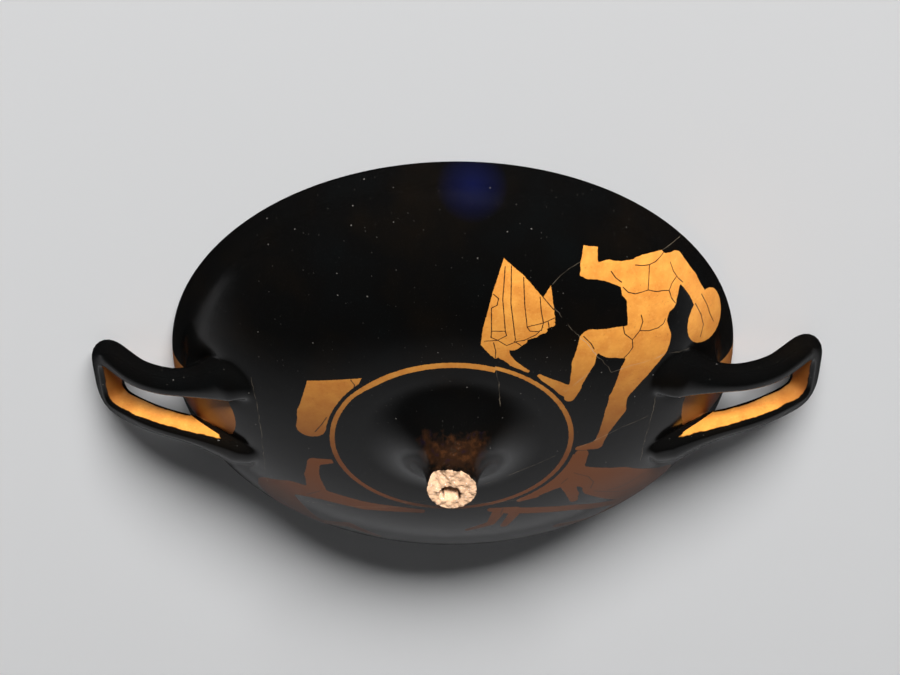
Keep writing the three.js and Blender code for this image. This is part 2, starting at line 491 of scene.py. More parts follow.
bare = cup.verts.layers.float["bare"]
ring = cup.verts.layers.float["ring"]
for vertex in cup.verts:
    x, y, z = vertex.co
    on_wall = WALL_START + FLARE_RINGS < vertex[ring] < WALL_END + 3
    vertex[bare] = panel_depth(x, y, arc_of(vertex.co)) if on_wall else COVERED
print("bare wall vertices:", sum(v[bare] > 0 for v in cup.verts))

# %% [markdown]
# ## The bars
#
# A bar starts as an open cylinder, is cut into many short lengths, and each of its vertices
# is then laid on the path. Every line along the bar starts where that line is clear of the
# wall, so the bar's open ends lie parallel to the slanting wall they are joined to.

# %% Make and join the bars
BAR_STEPS = 72
BRIDGE_CUTS = 9
BAND_SMOOTHING = 4
BARE_HALF_HEIGHT = 4.5


def make_bar(bm, handle):
    """One bent bar with open ends; returns the edges of its two ends."""
    ring = bm.verts.layers.float["ring"]
    mark = -1 - HANDLES.index(handle)
    made = bmesh.ops.create_cone(bm, cap_ends=False, segments=BAR_SIDES, radius1=1, radius2=1,
                                 depth=1)
    for vertex in made["verts"]:
        vertex[ring] = mark
    bare = bm.verts.layers.float["bare"]
    side_length = math.hypot(section_in[1] - section_in[0], section_up[1] - section_up[0])
    long_edges = {e for v in made["verts"] for e in v.link_edges
                  if abs(e.verts[0].co.z - e.verts[1].co.z) > 0.5}
    bmesh.ops.subdivide_edges(bm, edges=list(long_edges), cuts=BAR_STEPS - 1)
    verts = [v for v in bm.verts if v[ring] == mark]
    path = paths[handle["name"]][0]
    rims = {e for v in verts for e in v.link_edges if e.is_boundary}
    ends = [[e for e in rims if e.verts[0].co.z < 0], [e for e in rims if e.verts[0].co.z > 0]]
    for vertex in verts:
        turn = math.atan2(vertex.co.y, vertex.co.x) % (2 * math.pi)
        i = round(turn / (2 * math.pi) * BAR_SIDES) % BAR_SIDES
        share = vertex.co.z + 0.5
        start = handle["starts"][i]
        point = bar_point(handle, path, start + (1 - 2 * start) * share, section_in[i], section_up[i])
        vertex.co = (point[0] * handle["side"], point[1] * handle["side"], point[2])
        vertex[bare] = BARE_HALF_HEIGHT - min(i, BAR_SIDES - i) * side_length
    return ends


def join_ends(bm, hole, end):
    """Bridges a hole in the wall and a bar's end with a smooth, curved band."""
    bridge = bmesh.ops.bridge_loops(bm, edges=hole + end)
    across = [e for e in bridge["edges"] if e.is_valid]
    cut = bmesh.ops.subdivide_edgering(bm, edges=across, interp_mode="SURFACE", smooth=1.0,
                                       cuts=BRIDGE_CUTS, profile_shape="SMOOTH")
    band = {v for f in cut["faces"] for v in f.verts}
    for _ in range(BAND_SMOOTHING):
        bmesh.ops.smooth_vert(bm, verts=list(band), factor=0.5, use_axis_x=True, use_axis_y=True,
                              use_axis_z=True)
    return len(across)


for handle in HANDLES:
    ends = make_bar(cup, handle)
    for end in ends:
        middle = sum((e.verts[0].co.y for e in end)) / len(end)
        mirrored = middle * handle["side"] < 0
        count = join_ends(cup, holes[(handle["name"], mirrored)], end)
        print("joined", handle["name"], "bar with", count, "bridging edges")
bmesh.ops.recalc_face_normals(cup, faces=cup.faces)
print("open edges left:", sum(e.is_boundary for e in cup.edges))

# %% [markdown]
# ## The break and the hand-made unevenness
#
# The foot snapped off long ago. The broken face slants, is rough like a biscuit, has a chip
# in its edge, and a pit where the stem was hollow. The rings inside the edge are lifted by
# one height function, and the stem's last rings are stretched up or down to meet it.
# Nothing thrown by hand is perfectly round either, so the wall gets a slow unevenness of a
# tenth or so of a millimetre, always inwards, which shows only in how the reflections bend.

# %% Break, lean and unevenness
BREAK_SLOPE = 0.21
BREAK_ROUGHNESS = 0.32
BREAK_WAVES = (1.3, 0.4, 0.9, -0.7)
CHIP_DEPTH = 2.4
CHIP_REACH = 7.0
CHIP_ANGLE = -0.75
GRAIN = ((0.55, 0.42), (1.5, 0.22), (3.6, 0.09))
PIT_CENTRE = (1.4, 2.3)
PIT_SIZE = (4.1, 3.6)
PIT_DEPTH = 6.5
PIT_WALL = 0.22
STEM_EDGE_LOW = 58.0
EDGE_CHIPS = 0.55
WORN_FROM, WORN_OVER = 66.5, 2
WORN_SIZE, WORN_SHARE = 0.45, 0.25
BREAK_CEILING = 71.35
UNEVEN = 0.07
UNEVEN_FROM, UNEVEN_OVER = 30, 60
SLOW, QUICK = 1.9, 5.5


def break_height(x, y):
    """Height of the broken face above the rim plane."""
    chip_x, chip_y = STEM_RADIUS * math.cos(CHIP_ANGLE), STEM_RADIUS * math.sin(CHIP_ANGLE)
    chip = CHIP_DEPTH * max(0, 1 - math.hypot(x - chip_x, y - chip_y) / CHIP_REACH)
    wx, sx, wy, sy = BREAK_WAVES
    waves = math.sin(wx * x + sx) * math.cos(wy * y + sy)
    height = BREAK_HEIGHT + BREAK_SLOPE * y + BREAK_ROUGHNESS * waves
    for size, depth in GRAIN:
        height += depth * noise.noise(Vector((x * size, y * size, 3.7 * size)))
    return min(height - chip, BREAK_CEILING)


def pit_depth(x, y):
    """Depth of the pit in the broken face: steep in front, sloping at the back."""
    across, along = (x - PIT_CENTRE[0]) / PIT_SIZE[0], (y - PIT_CENTRE[1]) / PIT_SIZE[1]
    wobble = 0.12 * noise.noise(Vector((x * 0.6, y * 0.6, 9.1)))
    inwards = 1 - math.hypot(across, along) + wobble
    if inwards <= 0:
        return 0.0
    slope = max(0.0, 0.5 - 0.5 * along) ** 0.6
    return PIT_DEPTH * min(1, inwards / PIT_WALL) ** 0.7 * slope


def shape_break(bm):
    ring = bm.verts.layers.float["ring"]
    for vertex in bm.verts:
        x, y, z = vertex.co
        r = math.hypot(x, y)
        if r > FLARE_RADIUS or vertex[ring] > BREAK_RINGS + FLARE_RINGS:
            continue
        if vertex[ring] <= BREAK_RINGS:
            vertex.co.z = break_height(x, y) - pit_depth(x, y)
        elif z > STEM_EDGE_LOW:
            edge = break_height(x * STEM_RADIUS / r, y * STEM_RADIUS / r)
            stretch = (edge - STEM_EDGE_LOW) / (BREAK_HEIGHT - STEM_EDGE_LOW)
            vertex.co.z = STEM_EDGE_LOW + (z - STEM_EDGE_LOW) * stretch
        worn = EDGE_CHIPS * max(0, noise.noise(Vector((x, y, 1.3)) * WORN_SIZE) + WORN_SHARE)
        worn *= min(1, max(0, (z - WORN_FROM) / WORN_OVER)) * (r / STEM_RADIUS) ** 4
        vertex.co.x *= 1 - worn / max(r, 0.1)
        vertex.co.y *= 1 - worn / max(r, 0.1)


def lean_stem(bm):
    ring = bm.verts.layers.float["ring"]
    for vertex in bm.verts:
        near = math.hypot(vertex.co.x, vertex.co.y) <= FLARE_RADIUS
        if near and vertex[ring] <= BREAK_RINGS + FLARE_RINGS:
            up = max(0, vertex.co.z - FOOT_HEIGHT) / (STEM_TOP - FOOT_HEIGHT)
            vertex.co.x += STEM_LEAN * min(1, up)


def make_uneven(bm):
    for vertex in bm.verts:
        x, y, z = vertex.co
        r = math.hypot(x, y)
        outwards = min(1, max(0, (r - UNEVEN_FROM) / UNEVEN_OVER))
        direction = Vector((x, y, z * 1.5)) / max(r, 1)
        slow = noise.noise(direction * SLOW + Vector((5.2, 1.7, 0.3)))
        quick = noise.noise(direction * QUICK)
        shrink = UNEVEN * outwards * (1 + slow + 0.3 * quick) / RIM_RADIUS
        vertex.co.x *= 1 - shrink
        vertex.co.y *= 1 - shrink


shape_break(cup)
lean_stem(cup)
make_uneven(cup)
bmesh.ops.recalc_face_normals(cup, faces=cup.faces)
heights = [v.co.z for v in cup.verts]
print(f"highest point {max(heights):.2f} mm")

# %% [markdown]
# ## The broken edge
#
# The layer `broken` says how far a place lies inside the broken face, in millimetres, and it
# is negative on the gloss. The material lets its edge wander, as flaked gloss does.

# %% Distance into the break
RING_DEPTH = 3.0
DEEPEST_RING = 8
broken = cup.verts.layers.float["broken"]
ring = cup.verts.layers.float["ring"]
for vertex in cup.verts:
    r = math.hypot(vertex.co.x - STEM_LEAN, vertex.co.y)
    rings_out = max(0.0, min(vertex[ring] - BREAK_RINGS, DEEPEST_RING))
    on_break = 0 <= vertex[ring] <= BREAK_RINGS
    vertex[broken] = STEM_RADIUS - r if on_break else -RING_DEPTH * rings_out
print("broken vertices:", sum(v[broken] > 0 for v in cup.verts))

# %% [markdown]
# ## The flat maps
#
# A painter works on the wall as on a sheet: distances are felt along the clay. The map
# `paint` lays the outside of the bowl out in the same way, in millimetres round the stem,
# with x to the right and y up as the figures stand. Its radius is the arc along the wall, so
# a limb drawn 8 mm wide comes out 8 mm wide, and it has no seam. The inside is laid beside it.

# %% Paint map
INSIDE_SHIFT = 400.0
INNER_START = WALL_END + len(LIP)
BREAK_SQUEEZE = 0.19
INSIDE_DEPTH, INSIDE_SPREAD = 40, 0.3


def wall_place(x, y, z):
    """Flat map place of a point on the outside."""
    radius = float(map_radius(arc_of((x, y, z)))) / max(math.hypot(x, y), 1e-6)
    return -x * radius, -y * radius


def inside_place(x, y, z):
    """Flat map place of a point of the inside, about its middle."""
    spread = 1 + INSIDE_SPREAD * (INSIDE_DEPTH - z) / INSIDE_DEPTH
    return -x * spread, -y * spread


def face_kind(face, ring):
    """Which surface a face belongs to."""
    rings = [v[ring] for v in face.verts]
    if min(rings) < -0.01:
        return "bar"
    if min(rings) >= INNER_START:
        return "inside"
    return "break" if max(rings) <= BREAK_RINGS else "wall"


def lay_maps(bm):
    """Lays the flat map on every face; returns how many faces each surface has."""
    ring = bm.verts.layers.float["ring"]
    paint = bm.loops.layers.uv.new("paint")
    counts = {}
    for face in bm.faces:
        kind = face_kind(face, ring)
        counts[kind] = counts.get(kind, 0) + 1
        for loop in face.loops:
            x, y, z = loop.vert.co
            if kind == "inside":
                flat_x, flat_y = inside_place(x, y, z)
                loop[paint].uv = (flat_x + INSIDE_SHIFT, flat_y)
            elif kind == "break":
                loop[paint].uv = ((STEM_LEAN - x) * BREAK_SQUEEZE, -y * BREAK_SQUEEZE)
            else:
                loop[paint].uv = wall_place(x, y, z)
    return counts


print("faces by surface:", lay_maps(cup))

# %% [markdown]
# ## The near side: an athlete with a discus
#
# A naked athlete strides towards the stem, one arm back with a discus. Where the top of the
# painting is lost, the body is cut off as it is now: at the forearm and at the neck. Beside
# the athlete the lower end of someone's pleated cloak shows, and a foot under it.

# %% Strokes of the near side
FOREARM = [(55.4, 96, 53.7, 88, 3, 3.5), (53.7, 88, 53.6, 85.6, 3.5, 3.3)]
FOREARM_CUT = (50, 96.2, 60, 93.1)
NECK = [(78.5, 82.4, 86, 81.3, 2.7, 2.9), (75, 83.6, 78.5, 82.6, 1.5, 2.6)]
NECK_CUT = (72, 86, 90, 83.3)
ATHLETE = [
    (52.4, 84.9, 50.6, 84.6, 2.2, 0.9), (54, 84.9, 61, 83.6, 3, 3.9), (61, 83.6, 67.5, 80.5, 3.9, 5),
    (74, 77.2, 85.5, 73.5, 7.4, 8.2), (69.5, 81.5, 80, 79, 3.6, 3.8), (82, 79, 93.5, 75.2, 4.2, 5.2),
    (71, 77.5, 70.4, 73, 4.6, 3.9), (77, 70, 77.9, 59.5, 8.6, 9.4), (88.2, 68, 87.2, 61.5, 6.3, 4.2),
    (77.2, 55, 79, 46, 8, 8.4), (94.4, 75.4, 100.6, 64.5, 4.9, 4.1), (100.8, 64.5, 104.4, 55, 4, 4),
    (104.5, 55, 107.9, 42, 4, 3.2), (107.2, 41, 104.2, 36.6, 3.4, 1.5),
    (107.6, 40.5, 107, 35.2, 3.2, 1.2), (108.4, 40.5, 109.6, 35.5, 3, 1.2),
    (77.5, 43, 72, 34, 8.9, 6.6), (72, 34, 65.4, 21, 6.6, 3.7), (65.4, 21, 64.4, 12.5, 3.7, 4.1),
    (64.4, 12.5, 59.5, -2.5, 4.1, 1.8), (59.6, -3, 57.4, -8.6, 1.9, 2.3),
    (57.2, -8.4, 50.4, -9.6, 2.6, 1.5),
    (73, 48.6, 63, 50.8, 8.4, 7.2), (63, 50.8, 53.4, 55.2, 7.2, 4.2), (53.2, 54.6, 50.7, 43, 4.3, 4.5),
    (50.7, 43, 47.6, 30, 4.4, 2.3), (47.4, 29, 45.6, 23.6, 2.6, 2.1),
    (44.6, 27.8, 39.6, 31.6, 3.2, 2.6),
    (39.6, 31.6, 33.4, 38, 2.6, 0.8),
]
OTHER_LEG = [(51.6, -13, 48.6, -24, 2.6, 4.2)]
DISCUS = (107.3, 44.8, 11.6)
CLOAK = [
    (20, 95.2), (15.6, 82.1), (11.6, 65.4), (10.6, 56.5), (14, 55), (22, 57), (31, 61.5), (39.5, 65.5),
    (38.9, 71), (34.7, 77.3), (28, 86.9),
]
CLOAK_HEM = [
    (13.2, 57, 16, 52, 2.4, 2), (19, 58, 23, 55.6, 3, 2.7), (24, 56, 27, 57.5, 2.4, 1.6),
    (28, 60.6, 31.5, 60.3, 2.8, 1.6), (33, 62, 35, 61.9, 2.2, 1.4), (36.8, 65, 38.2, 64.6, 2.6, 1.2),
]
CLOAK_CORNER = [(37.9, 81.9), (34.3, 76.5), (39.1, 70.4)]
CLOAKED_LEG = [
    (15.2, 55, 16.4, 49.8, 2.2, 0.9), (19, 55, 19.6, 50.4, 2.4, 2.3),
    (19.6, 50.4, 23.5, 45.6, 2.2, 1.3),
    (23, 45.8, 28.9, 40.9, 1.5, 0.7),
]
LOST_LEG = [
    (-46, 40, -54.5, 14, 9.6, 7.6), (-54.5, 14, -57.2, 6, 7.6, 6), (-41, 40, -40, 34, 6.5, 3),
]
LOST_LEG_CUT = (-57.4, 34.1, -35.4, 37.8)
NEAR_LINES = [
    [(62.7, 82.8), (64.3, 79.8), (66.8, 77.2)],
    [(67.2, 75), (69.3, 72.2), (72.3, 70.6), (75.4, 70.4), (78.2, 70.3), (82, 68.2), (85.4, 67.4),
     (88.2, 66.3)],
    [(80.3, 80.2), (79.2, 75.5), (78.2, 70.3)],
    [(73.8, 82.2), (77, 80.9), (80.3, 80.2), (83.6, 80.3), (86.6, 81.3), (89.4, 82.6)],
    [(91.2, 77.2), (91.9, 73), (93.8, 69.2), (96, 66.4)],
    [(93.4, 70.4), (90.2, 68.8), (88.2, 66.3), (88.9, 62.6), (90.6, 59.6)],
    [(74.4, 60.6), (75, 57.4), (73.6, 53.6), (71.8, 51.6), (70.4, 50.2), (70.6, 46.4), (69, 44),
     (67, 42)],
    [(73.6, 53.6), (77.4, 52.2), (81.6, 52), (84.2, 53), (85.2, 54.8)],
    [(66.6, 57.8), (67.2, 54), (70.4, 50.2)], [(50.6, 56.6), (53.6, 52.4), (54.8, 49.4)],
    [(105.8, 56), (108.2, 50), (109.6, 44), (111.2, 39.6)],
    [(101.2, 54.2), (103.8, 47.6), (104.6, 42.2), (102.6, 37.2)], [(57.4, -11.2), (52, -11.4),
     (48.6, -10.6)],
]
LOST_LEG_LINES = [[(-40, 36.4), (-38.6, 33.6), (-39, 32)], [(-55.6, 3.4), (-52.6, 8.6), (-50.6, 13)]]
CLOAK_FOLDS = [
    [(20.4, 91.8), (19.2, 78.2), (20.1, 63)], [(22.8, 91.8), (22.3, 76), (24, 58.2)],
    [(27.4, 86.6), (27.6, 75), (28.5, 64.4)], [(33.6, 77.6), (34, 71), (34.8, 65.6), (34, 62)],
    [(15.6, 80.6), (17.6, 78.6), (17, 75.6), (14.8, 74.4), (14.8, 63.4)],
    [(20.1, 63), (20.6, 60.8), (17.2, 58.6), (14.6, 60.2), (14.8, 63.4), (20.1, 63)],
    [(12, 58.4), (17.2, 58.6), (20.6, 55.6), (24.4, 57.4), (27.4, 57.8), (32, 60.2), (33.6, 62.2)],
    [(33, 61.6), (29.6, 62.2), (28.5, 64.4), (34.8, 65.6), (39.2, 67.4)], [(36.6, 66.4), (37, 63.2)],
    [(23.6, 57.6), (26.6, 54.8)], [(15.6, 57.4), (16.4, 53), (16.3, 49.4)], [(34.9, 77.2),
     (38.9, 71.2)],
]

# %% [markdown]
# ## The far side
#
# On the far side two more figures bend and reach, their feet on the ring as well. Their lower
# parts are seen past the stem. The upper parts are turned away and are drawn plainer.

# %% Strokes of the far side
FAR_FIGURES = [
    (-57, -17.4, -50, -16.2, 2.5, 1.4), (-57.4, -18, -58.6, -28, 2.5, 3),
    (-58.6, -28, -57.4, -38, 3, 4),
    (-77, -45, -68, -41.6, 6.6, 5.8), (-68, -41.6, -57, -42.4, 5.8, 4.6),
    (-57, -42.4, -38, -49, 4.6, 3.2),
    (-38, -49, -14, -52, 3.2, 1.5),
    (51.2, -13.6, 48.6, -24, 3.2, 4.2), (48.6, -24, 42, -33, 4.6, 4), (42, -33, 32, -41.5, 4, 2.2),
    (32.5, -41.5, 26.5, -45.2, 2.4, 1), (45, -30, 49, -44, 3.8, 2.4), (49, -44, 49.6, -49, 2.4, 1.8),
    (52, -30, 66, -37.5, 7, 9.5), (66, -37.5, 86, -51, 9.5, 9), (60, -41, 84, -60, 7, 11),
    (-76, -50, -66, -82, 8.4, 9.6), (-66, -82, -46, -72, 4.4, 3), (-46, -72, -34, -84, 3, 2),
    (-64, -96, -64, -98, 6.4, 6.6), (84, -62, 66, -88, 9.6, 9.4), (56, -98, 55, -99, 6.4, 6.6),
    (70, -92, 88, -86, 4.4, 3.2), (88, -86, 98, -72, 3.2, 2.2),
]
FAR_ARMS = [
    (80, -68, 50, -56.6, 3.6, 2.6), (50, -56.6, 25, -53.4, 2.6, 2.6), (25, -53.4, 15, -51.8, 3.2, 1.6),
    (18, -54, 15, -64, 2.6, 1.8), (15, -64, 5, -70, 1.8, 1), (25, -55, 20.6, -67, 2.4, 1.6),
    (45, -77, 60, -82, 3, 3.6),
]
FAR_LINES = [
    [(49, -27), (55, -31), (57.4, -36), (56.4, -41)], [(58, -44), (70, -51), (82, -56)],
    [(46.4, -30.6), (44, -34)], [(80, -40), (70, -46), (64, -46)],
    [(52, -53.4), (66, -58.6), (78, -64)], [(20, -51), (19, -56), (22, -60)],
    [(-62, -45), (-56, -40)], [(-76, -58), (-70, -72)], [(74, -76), (66, -84)],
]

# %% [markdown]
# ## Ring, cracks and specks
#
# A ring was drawn with the cup turning, and the figures stand on it. The cup has been mended
# from pieces: the joins show as thin pale lines, and the bare clay changes tone across some.
# Old gloss is full of tiny pale pits, and cells of a Voronoi texture place them: a cell's
# random colour decides whether it has a pit, and the distance to its middle draws the pit.

# %% Ring and cracks
RING_MIDDLE = Vector((-1, -1.2, 0))
RING_RADIUS = 47.9
RING_HALF_WIDTH = 1.0
RING_GAP = 1.7
MENDED_TOP = 30.0
MENDED_RIGHT = 16.2
MENDED_SHIFT = 1.05
MENDED_WIDENING = 0.45
NEAR_CRACKS = [
    [(86.8, 83.1), (92.1, 83.6), (103, 84), (112, 86)], [(38.8, 82.5), (41.6, 85.3), (45.8, 87.8),
     (50, 89.4)],
    [(38.6, 73), (45.2, 62.2), (53.1, 50.8), (58.5, 41.9), (62.2, 35.6), (70, 37.2), (80.1, 37.1),
     (84.1, 38.1),
     (96.6, 34.5)],
    [(82.5, 27.5), (81.2, 16.5), (80, 4.6), (77.6, -13)], [(50, -9), (67.5, 1.2), (78.3, 4.7)],
    [(43.7, 27.4), (49.5, 33.6), (53.4, 37.5)], [(16.2, 45.4), (18.1, 30.5), (20.4, 12)],
]
LEFT_CRACKS = [[(-80.6, 30), (-78.9, 17.7), (-78.2, -7.8), (-78.4, -14)]]
FAR_CRACKS = [
    [(-22.8, -45.6), (-10.3, -43), (18.5, -28.9), (43, -12)], [(-78.3, -12), (-79, -42)],
    [(-65.5, -52.6), (-22.9, -48.8), (27, -44.8)], [(77.6, -12), (76.9, -27.9)],
]
print("near side:", len(ATHLETE), "body strokes,", sum(map(len, NEAR_LINES + CLOAK_FOLDS)), "line points")

# %% [markdown]
# ## A material for each group of figures
#
# Every stroke costs the renderer a little on every point of its material, so each group of
# figures gets a material of its own, and only the faces near the group carry it. The rest of
# the wall has the same gloss without figures, so no seam shows. Which faces lie near a group
# is found here with the same distances, worked out in plain numbers.

# %% Zones of the wall
FAR_SIDE = -13.2
STEM_ZONE = BREAK_RINGS + 20
ZONE_MARGIN = 3.4


def stroke_distance(x, y, stroke):
    """Distance from a flat place to one tapered stroke."""
    x1, y1, x2, y2, r1, r2 = stroke
    dx, dy = x2 - x1, y2 - y1
    share = min(max(((x - x1) * dx + (y - y1) * dy) / (dx * dx + dy * dy), 0), 1)
    return math.hypot(x - x1 - share * dx, y - y1 - share * dy) - r1 - share * (r2 - r1)


def line_strokes(lines):
    """The pieces of some broken lines, as strokes without thickness."""
    return [(*a, *b, 0, 0) for points in lines for a, b in zip(points, points[1:])]


CLOAK_CORE = [(21, 84, 21, 64, 8, 9), (25, 82, 31, 71, 6, 8)]
DISCUS_STROKE = (DISCUS[0], DISCUS[1], DISCUS[0] + 0.1, DISCUS[1], DISCUS[2], DISCUS[2])
ZONES = {
    "athlete": FOREARM + NECK + ATHLETE + [DISCUS_STROKE],
    "cloak": (CLOAK_CORE + CLOAK_HEM + CLOAKED_LEG
              + line_strokes([CLOAK + CLOAK[:1], CLOAK_CORNER])),
    "lost_leg": LOST_LEG,
    "cracked_gloss": line_strokes(NEAR_CRACKS),
    "far_figures": FAR_FIGURES + FAR_ARMS,
}
NAMES = ["stem_and_break", "handle_gloss", "inside_gloss", "plain_gloss", "plain_far_gloss", *ZONES]


def zone_of(x, y):
    """The material name for a flat place of the wall."""
    if y < FAR_SIDE:
        near = min(stroke_distance(x, y, stroke) for stroke in ZONES["far_figures"])
        return "far_figures" if near < ZONE_MARGIN else "plain_far_gloss"
    best = {name: min(stroke_distance(x, y, stroke) for stroke in strokes)
            for name, strokes in ZONES.items() if name != "far_figures"}
    crack = best.pop("cracked_gloss")
    nearest = min(best, key=best.get)
    if best[nearest] < ZONE_MARGIN:
        return nearest
    return "cracked_gloss" if crack < ZONE_MARGIN else "plain_gloss"


def give_materials(bm):
    """Sets every face's material number; returns how many faces each material has."""
    ring = bm.verts.layers.float["ring"]
    names = {"break": "stem_and_break", "bar": "handle_gloss", "inside": "inside_gloss"}
    counts = dict.fromkeys(NAMES, 0)
    for face in bm.faces:
        kind = face_kind(face, ring)
        if kind == "wall" and max(v[ring] for v in face.verts) <= STEM_ZONE:
            kind = "break"
        name = names.get(kind) or zone_of(*wall_place(*face.calc_center_median()))
        face.material_index = NAMES.index(name)
        counts[name] += 1
    return counts


print("faces by material:", give_materials(cup))

# %% Finish the mesh
cup_mesh = bpy.data.meshes.new("cup")
bmesh.ops.scale(cup, vec=(0.001, 0.001, 0.001), verts=cup.verts)
cup.to_mesh(cup_mesh)
cup.free()
cup_mesh.shade_smooth()
painted_cup = bpy.data.objects.new("painted_cup", cup_mesh)
bpy.context.scene.collection.objects.link(painted_cup)
cup_mesh.calc_loop_triangles()
print("cup:", len(cup_mesh.loop_triangles), "triangles")

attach(painted_cup, "root")
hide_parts("kylix_cup")

# %% [markdown]
# ## Writing shader maths
#
# A pattern painted by nodes is arithmetic, and a long chain of Math nodes is easier to read as
# a formula. `Wire` wraps one socket, so `a * b + 1` adds the nodes it needs, and `Graph.node`
# makes every other node: first its settings, then the values or links of its sockets.

# %% Wires and graphs
class Wire:
    """One socket that formulas can be written with."""

    def __init__(self, graph, socket):
        self.graph = graph
        self.socket = socket

    def math(self, operation, *values, clamp=False):
        settings = {"operation": operation, "use_clamp": clamp}
        return self.graph.node("ShaderNodeMath", settings, [self, *values])

    def vector(self, operation, *values, output=0):
        settings = {"operation": operation}
        return self.graph.node("ShaderNodeVectorMath", settings, [self, *values], output)

    def __add__(self, other):
        return self.math("ADD", other)

    def __sub__(self, other):
        return self.math("SUBTRACT", other)

    def __rsub__(self, other):
        return self.graph.node("ShaderNodeMath", {"operation": "SUBTRACT"}, [other, self])

    def __mul__(self, other):
        return self.math("MULTIPLY", other)

    __radd__ = __add__
    __rmul__ = __mul__

    def below(self, limit, width):
        """One where the value is under the limit, zero above it, with a soft edge."""
        return self.math("MULTIPLY_ADD", -1 / width, 0.5 + limit / width, clamp=True)


class Graph:
    """The nodes of one material or world, and its shader."""

    def __init__(self, owner, shader="Principled BSDF"):
        owner.use_nodes = True
        self.owner = owner
        self.tree = owner.node_tree
        self.shader = self.tree.nodes[shader]

    def node(self, kind, settings, inputs, output=0):
        made = self.tree.nodes.new(kind)
        for name, value in settings.items():
            setattr(made, name, value)
        for key, value in inputs.items() if isinstance(inputs, dict) else enumerate(inputs):
            self.feed(made.inputs[key], value)
        return Wire(self, made.outputs[output])

    def feed(self, socket, value):
        if isinstance(value, Wire):
            self.tree.links.new(value.socket, socket)
        else:
            socket.default_value = value

    def noise(self, place, scale, detail=2.0, rough=0.5):
        inputs = {"Vector": place, "Scale": scale, "Detail": detail, "Roughness": rough}
        return self.node("ShaderNodeTexNoise", {}, inputs)

    def scaled(self, direction, length):
        """A fixed direction times a wired length; it stays free of hidden conversions."""
        inputs = {"Vector": direction, "Scale": length}
        return self.node("ShaderNodeVectorMath", {"operation": "SCALE"}, inputs)

    def mix(self, share, first, second):
        """A blend of two colours; each may be a wire or a fixed (r, g, b)."""
        a, b = (c if isinstance(c, Wire) else (*c, 1.0) for c in (first, second))
        return self.node("ShaderNodeMix", {"data_type": "RGBA"}, {0: share, 6: a, 7: b}, 2)


# %% [markdown]
# ## Drawing on the map
#
# Every painted form is a signed distance in millimetres, negative inside. A limb is a tapered
# stroke between two points: the nearest point of its centre line is found, and its thickness
# there is taken off the distance to it. A smooth minimum runs strokes into each other as
# muscle does, and straight cuts are half planes. Bodies built from such strokes are generic
# figures, which keep only the places and sizes of the real painting's bare areas.

# %% Strokes, outlines and cuts
def limb(place, stroke):
    """Distance to a tapered stroke (x1, y1, x2, y2, radius at 1, radius at 2)."""
    x1, y1, x2, y2, r1, r2 = stroke
    start, reach = Vector((x1, y1, 0)), Vector((x2 - x1, y2 - y1, 0))
    step = reach / reach.length_squared
    along = place.vector("DOT_PRODUCT", step, output=1).math("SUBTRACT", start.dot(step), clamp=True)
    nearest = place.graph.scaled(reach, along).vector("ADD", start)
    away = place.vector("DISTANCE", nearest, output=1)
    if r1 == 0 and r2 == 0:
        return away
    return away - along.math("MULTIPLY_ADD", r2 - r1, r1)


def union(place, shape, strokes, soft=0.0):
    """Adds strokes to a shape, run together over a soft distance."""
    for stroke in strokes:
        new = limb(place, stroke)
        if shape is None:
            shape = new
        elif soft:
            shape = shape.math("SMOOTH_MIN", new, soft)
        else:
            shape = shape.math("MINIMUM", new)
    return shape


def chains(place, lines):
    """Distance to the nearest of several broken lines, each a list of points."""
    nearest = None
    for points in lines:
        pieces = [(*a, *b, 0, 0) for a, b in zip(points, points[1:])]
        nearest = union(place, nearest, pieces)
    return nearest


def side_of(place, x1, y1, x2, y2):
    """Distance past a straight cut, positive on the left of its direction."""
    normal = Vector((y1 - y2, x2 - x1, 0)).normalized()
    return place.vector("DOT_PRODUCT", normal, output=1) - normal.dot(Vector((x1, y1, 0)))


def outline(place, corners):
    """Distance to a convex outline whose corners run anticlockwise."""
    shape = None
    for a, b in zip(corners, corners[1:] + corners[:1]):
        edge = side_of(place, *b, *a)
        shape = edge if shape is None else shape.math("MAXIMUM", edge)
    return shape


# %% Drawing the groups
def draw_athlete(place):
    """The striding body with its discus, and the lines inside it."""
    body = union(place, None, FOREARM, 1.0).math("MAXIMUM", side_of(place, *FOREARM_CUT))
    neck = union(place, None, NECK, 1.0).math("MAXIMUM", side_of(place, *NECK_CUT))
    body = union(place, body.math("MINIMUM", neck), ATHLETE, 1.6)
    x, y, radius = DISCUS
    body = body.math("MINIMUM", place.vector("DISTANCE", Vector((x, y, 0)), output=1) - radius)
    return union(place, body, OTHER_LEG), chains(place, NEAR_LINES)


def draw_cloak(place):
    """The pleated cloak's lower end with a foot, and its folds."""
    cloak = outline(place, CLOAK).math("MINIMUM", outline(place, CLOAK_CORNER))
    cloak = union(place, cloak, CLOAK_HEM)
    return cloak.math("MINIMUM", union(place, None, CLOAKED_LEG, 0.6)), chains(place, CLOAK_FOLDS)


def draw_lost_leg(place):
    """What is left of the figure on the left."""
    leg = union(place, None, LOST_LEG, 2.0).math("MAXIMUM", side_of(place, *LOST_LEG_CUT))
    return leg, chains(place, LOST_LEG_LINES)


def draw_far_figures(place):
    """The two bending figures past the stem."""
    body = union(place, None, FAR_FIGURES, 1.6)
    return union(place, body, FAR_ARMS), chains(place, FAR_LINES)


# %% [markdown]
# ## Gloss and clay
#
# The black is not glaze but a fine iron-rich slip, fired hard: nearly black, a little brown or
# green in places, with a soft lustre. The bare clay was rubbed with ochre, and it is orange,
# mottled and satin. The broken face is the clay's paler inside, dry and grainy.
# All three share one shader, whose colour and roughness are mixed by masks.

